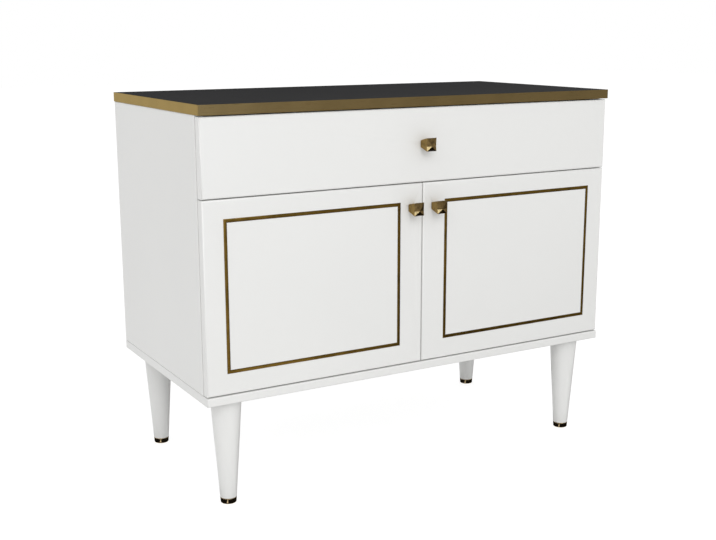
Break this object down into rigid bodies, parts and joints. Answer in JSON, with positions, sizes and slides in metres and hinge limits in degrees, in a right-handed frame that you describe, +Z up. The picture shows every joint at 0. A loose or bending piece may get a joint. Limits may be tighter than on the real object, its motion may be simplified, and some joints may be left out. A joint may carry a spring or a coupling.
{
  "type": "sideboard",
  "caption": "Low cabinet on tapered round legs, with a wide drawer over a pair of framed doors, a loose shelf inside and faceted metal knobs.",
  "frame": {"origin": "on the floor under the middle of the whole cabinet, knobs included", "axes": "+X to the right of someone facing the cabinet's front, +Y from the front to the back, +Z up; the drawer and doors face -Y"},
  "size_m": [0.9022, 0.4726, 0.735],
  "materials": {
    "white_lacquer": "satin white lacquer on fibreboard and turned wood",
    "white_melamine": "matt white melamine-faced board",
    "black_laminate": "satin black laminate sheet",
    "gold_band": "satin gold-coloured edging strip",
    "gold_inlay": "dark gold anodised strip with a rounded face",
    "antique_brass": "polished antique brass",
    "dark_brass": "polished dark bronze-brown metal",
    "zinc_steel": "bright zinc-plated sheet",
    "nickel_steel": "nickel-plated steel",
    "clear_rubber": "clear soft plastic"
  },
  "bodies": {
    "cabinet": {"base_board": "white_lacquer", "side_panel_left": "white_lacquer", "side_panel_right": "white_lacquer", "divider_board": "white_melamine", "back_panel": "white_melamine", "shelf": "white_melamine", "shelf_pin_front_left": "nickel_steel", "shelf_pin_front_right": "nickel_steel", "shelf_pin_rear_left": "nickel_steel", "shelf_pin_rear_right": "nickel_steel", "top_board": "white_melamine", "top_sheet": "black_laminate", "edge_band_front": "gold_band", "edge_band_left": "gold_band", "edge_band_right": "gold_band", "leg_front_left": "white_lacquer", "leg_front_right": "white_lacquer", "leg_rear_left": "white_lacquer", "leg_rear_right": "white_lacquer", "ferrule_front_left": "dark_brass", "ferrule_front_right": "dark_brass", "ferrule_rear_left": "dark_brass", "ferrule_rear_right": "dark_brass", "slide_outer_left": "zinc_steel", "slide_outer_right": "zinc_steel", "hinge_arm_lower_left": "nickel_steel", "hinge_arm_lower_right": "nickel_steel", "hinge_arm_upper_left": "nickel_steel", "hinge_arm_upper_right": "nickel_steel", "hinge_plate_lower_left": "nickel_steel", "hinge_plate_lower_right": "nickel_steel", "hinge_plate_upper_left": "nickel_steel", "hinge_plate_upper_right": "nickel_steel"},
    "slide_middle": {"slide_middle_left": "zinc_steel", "slide_middle_right": "zinc_steel", "ball_cage_outer_left": "nickel_steel", "ball_cage_outer_right": "nickel_steel", "ball_cage_inner_left": "nickel_steel", "ball_cage_inner_right": "nickel_steel"},
    "drawer": {"drawer_front": "white_lacquer", "drawer_box_front": "white_melamine", "drawer_side_left": "white_melamine", "drawer_side_right": "white_melamine", "drawer_back": "white_melamine", "drawer_bottom": "white_melamine", "drawer_knob": "antique_brass", "slide_inner_left": "zinc_steel", "slide_inner_right": "zinc_steel"},
    "left_door": {"door_left": "white_lacquer", "inlay_left": "gold_inlay", "door_knob_left": "antique_brass", "bumper_left": "clear_rubber", "hinge_cup_lower_left": "nickel_steel", "hinge_cup_upper_left": "nickel_steel"},
    "right_door": {"door_right": "white_lacquer", "inlay_right": "gold_inlay", "door_knob_right": "antique_brass", "bumper_right": "clear_rubber", "hinge_cup_lower_right": "nickel_steel", "hinge_cup_upper_right": "nickel_steel"}
  },
  "joints": [
    {"name": "drawer_slide", "type": "slide", "parent": "cabinet", "child": "drawer", "axis": [0, -1, 0], "range_m": [0, 0.335]},
    {"name": "slide_middle_travel", "type": "slide", "parent": "cabinet", "child": "slide_middle", "axis": [0, -1, 0], "range_m": [0, 0.1675]},
    {"name": "left_door_hinge", "type": "hinge", "parent": "cabinet", "child": "left_door", "pos_m": [-0.442, -0.2027, 0.2223], "axis": [0, 0, -1], "range_deg": [0, 100]},
    {"name": "right_door_hinge", "type": "hinge", "parent": "cabinet", "child": "right_door", "pos_m": [0.442, -0.2027, 0.2223], "axis": [0, 0, 1], "range_deg": [0, 100]}
  ],
  "couplings": [
    {"joint": "slide_middle_travel", "follows": "drawer_slide", "ratio": 0.5}
  ]
}
